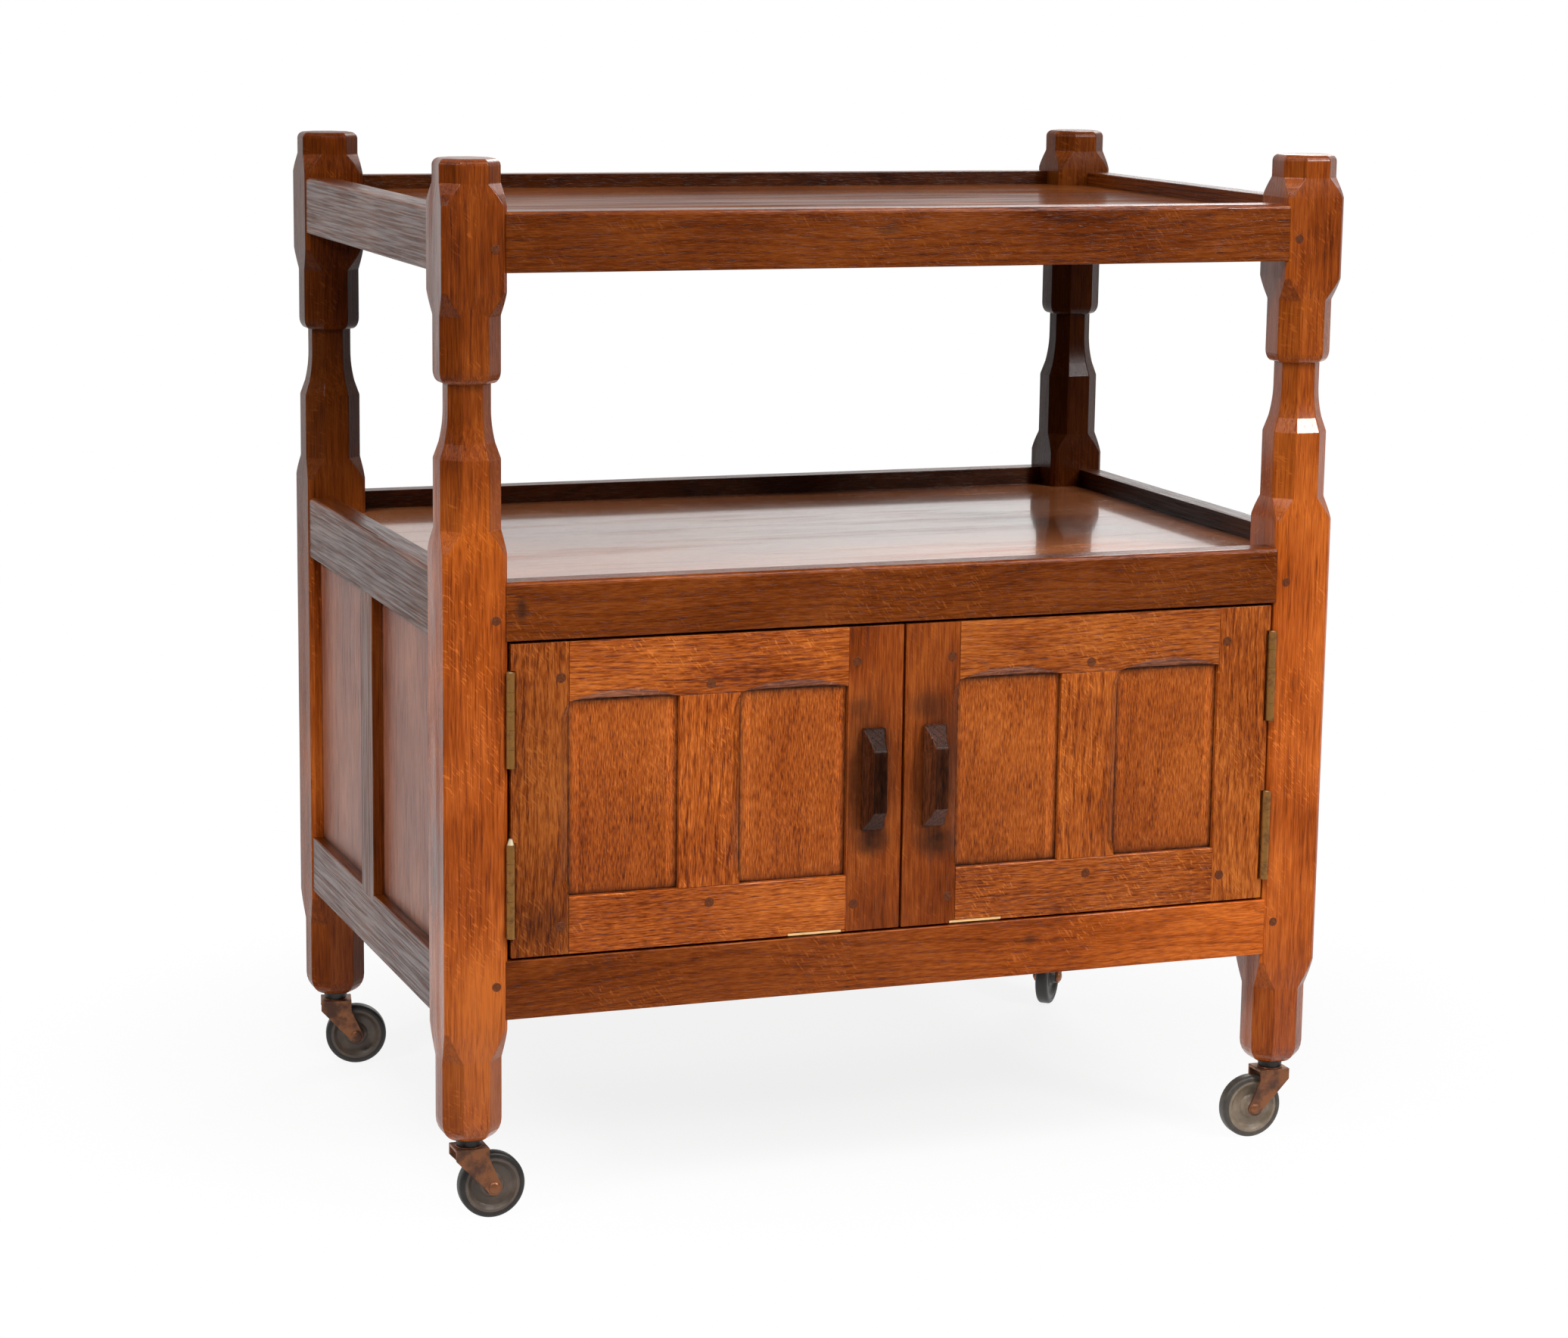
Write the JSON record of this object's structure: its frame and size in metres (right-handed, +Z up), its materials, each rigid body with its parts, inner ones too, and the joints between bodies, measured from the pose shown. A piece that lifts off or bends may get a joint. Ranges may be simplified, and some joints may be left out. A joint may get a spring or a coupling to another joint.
{
  "type": "serving trolley",
  "caption": "Oak serving trolley: an open tray and a shelf on carved octagonal posts, a cupboard with panelled doors below, and small swivel castors.",
  "frame": {"origin": "on the floor, under the middle of the whole trolley's bounding box", "axes": "+Z up, +X to the right as seen from the front, -Y towards the doors"},
  "size_m": [0.76, 0.518, 0.834],
  "materials": {
    "oak_frame": "waxed",
    "oak_boards": "waxed",
    "oak_pegs": "waxed end grain",
    "oak_pull": "dark, worn by hands",
    "aged_brass": "dull, aged",
    "screw_steel": "dull, aged",
    "catch_ball_steel": "polished",
    "castor_boss": "satin black",
    "castor_fork": "worn copper-coloured plating",
    "castor_disc": "grey-brown",
    "tyre": "matte black"
  },
  "bodies": {
    "carcase": {"bottom_rail_back": "oak_frame", "bottom_rail_front": "oak_frame", "bottom_side_rails": "oak_frame", "carcase_muntins": "oak_frame", "carcase_panels": "oak_boards", "castor_sockets": "castor_boss", "cupboard_floor": "oak_boards", "frame_pegs": "oak_pegs", "hinge_frame_leaves": "aged_brass", "hinge_frame_screws": "screw_steel", "hinge_pins": "aged_brass", "middle_rail_back": "oak_frame", "middle_rail_front": "oak_frame", "middle_shelf_board": "oak_boards", "middle_side_rails": "oak_frame", "post_back_left": "oak_frame", "post_back_right": "oak_frame", "post_front_left": "oak_frame", "post_front_right": "oak_frame", "strike_plates": "aged_brass", "top_rail_back": "oak_frame", "top_rail_front": "oak_frame", "top_side_rails": "oak_frame", "top_tray_board": "oak_boards"},
    "left_door": {"left_door_bottom_rail": "oak_frame", "left_door_catch_barrel": "aged_brass", "left_door_hinge_leaves": "aged_brass", "left_door_hinge_screws": "screw_steel", "left_door_hinge_stile": "oak_frame", "left_door_lock_stile": "oak_frame", "left_door_muntin": "oak_frame", "left_door_panels": "oak_boards", "left_door_pegs": "oak_pegs", "left_door_pull": "oak_pull", "left_door_top_rail": "oak_frame"},
    "left_catch_ball": {"left_door_catch_ball": "catch_ball_steel"},
    "right_door": {"right_door_bottom_rail": "oak_frame", "right_door_catch_barrel": "aged_brass", "right_door_hinge_leaves": "aged_brass", "right_door_hinge_screws": "screw_steel", "right_door_hinge_stile": "oak_frame", "right_door_lock_stile": "oak_frame", "right_door_muntin": "oak_frame", "right_door_panels": "oak_boards", "right_door_pegs": "oak_pegs", "right_door_pull": "oak_pull", "right_door_top_rail": "oak_frame"},
    "right_catch_ball": {"right_door_catch_ball": "catch_ball_steel"},
    "castor_swivel_front_left": {"castor_fork_front_left": "castor_fork"},
    "castor_wheel_front_left": {"castor_disc_front_left": "castor_disc", "castor_tyre_front_left": "tyre"},
    "castor_swivel_front_right": {"castor_fork_front_right": "castor_fork"},
    "castor_wheel_front_right": {"castor_disc_front_right": "castor_disc", "castor_tyre_front_right": "tyre"},
    "castor_swivel_back_left": {"castor_fork_back_left": "castor_fork"},
    "castor_wheel_back_left": {"castor_disc_back_left": "castor_disc", "castor_tyre_back_left": "tyre"},
    "castor_swivel_back_right": {"castor_fork_back_right": "castor_fork"},
    "castor_wheel_back_right": {"castor_disc_back_right": "castor_disc", "castor_tyre_back_right": "tyre"}
  },
  "joints": [
    {"name": "left_door_hinge", "type": "hinge", "parent": "carcase", "child": "left_door", "pos_m": [-0.3275, -0.242, 0.3384], "axis": [0, 0, -1], "range_deg": [0, 175]},
    {"name": "right_door_hinge", "type": "hinge", "parent": "carcase", "child": "right_door", "pos_m": [0.3275, -0.242, 0.3384], "axis": [0, 0, 1], "range_deg": [0, 175]},
    {"name": "left_catch_slide", "type": "slide", "parent": "left_door", "child": "left_catch_ball", "axis": [0, 0, 1], "range_m": [0, 0.0014], "stiffness_N_per_m": 500},
    {"name": "right_catch_slide", "type": "slide", "parent": "right_door", "child": "right_catch_ball", "axis": [0, 0, 1], "range_m": [0, 0.0014], "stiffness_N_per_m": 500},
    {"name": "castor_swivel_front_left", "type": "hinge", "parent": "carcase", "child": "castor_swivel_front_left", "pos_m": [-0.35425, -0.21525, 0.0612], "axis": [0, 0, 1], "continuous": true},
    {"name": "castor_wheel_front_left", "type": "hinge", "parent": "castor_swivel_front_left", "child": "castor_wheel_front_left", "pos_m": [-0.33625, -0.21525, 0.027], "axis": [0, 1, 0], "continuous": true},
    {"name": "castor_swivel_front_right", "type": "hinge", "parent": "carcase", "child": "castor_swivel_front_right", "pos_m": [0.35425, -0.21525, 0.0612], "axis": [0, 0, 1], "continuous": true},
    {"name": "castor_wheel_front_right", "type": "hinge", "parent": "castor_swivel_front_right", "child": "castor_wheel_front_right", "pos_m": [0.33625, -0.21525, 0.027], "axis": [0, -1, 0], "continuous": true},
    {"name": "castor_swivel_back_left", "type": "hinge", "parent": "carcase", "child": "castor_swivel_back_left", "pos_m": [-0.35425, 0.23325, 0.0612], "axis": [0, 0, 1], "continuous": true},
    {"name": "castor_wheel_back_left", "type": "hinge", "parent": "castor_swivel_back_left", "child": "castor_wheel_back_left", "pos_m": [-0.33664, 0.22951, 0.027], "axis": [0.2079, 0.9781, 0], "continuous": true},
    {"name": "castor_swivel_back_right", "type": "hinge", "parent": "carcase", "child": "castor_swivel_back_right", "pos_m": [0.35425, 0.23325, 0.0612], "axis": [0, 0, 1], "continuous": true},
    {"name": "castor_wheel_back_right", "type": "hinge", "parent": "castor_swivel_back_right", "child": "castor_wheel_back_right", "pos_m": [0.34317, 0.21907, 0.027], "axis": [0.788, -0.6157, 0], "continuous": true}
  ]
}
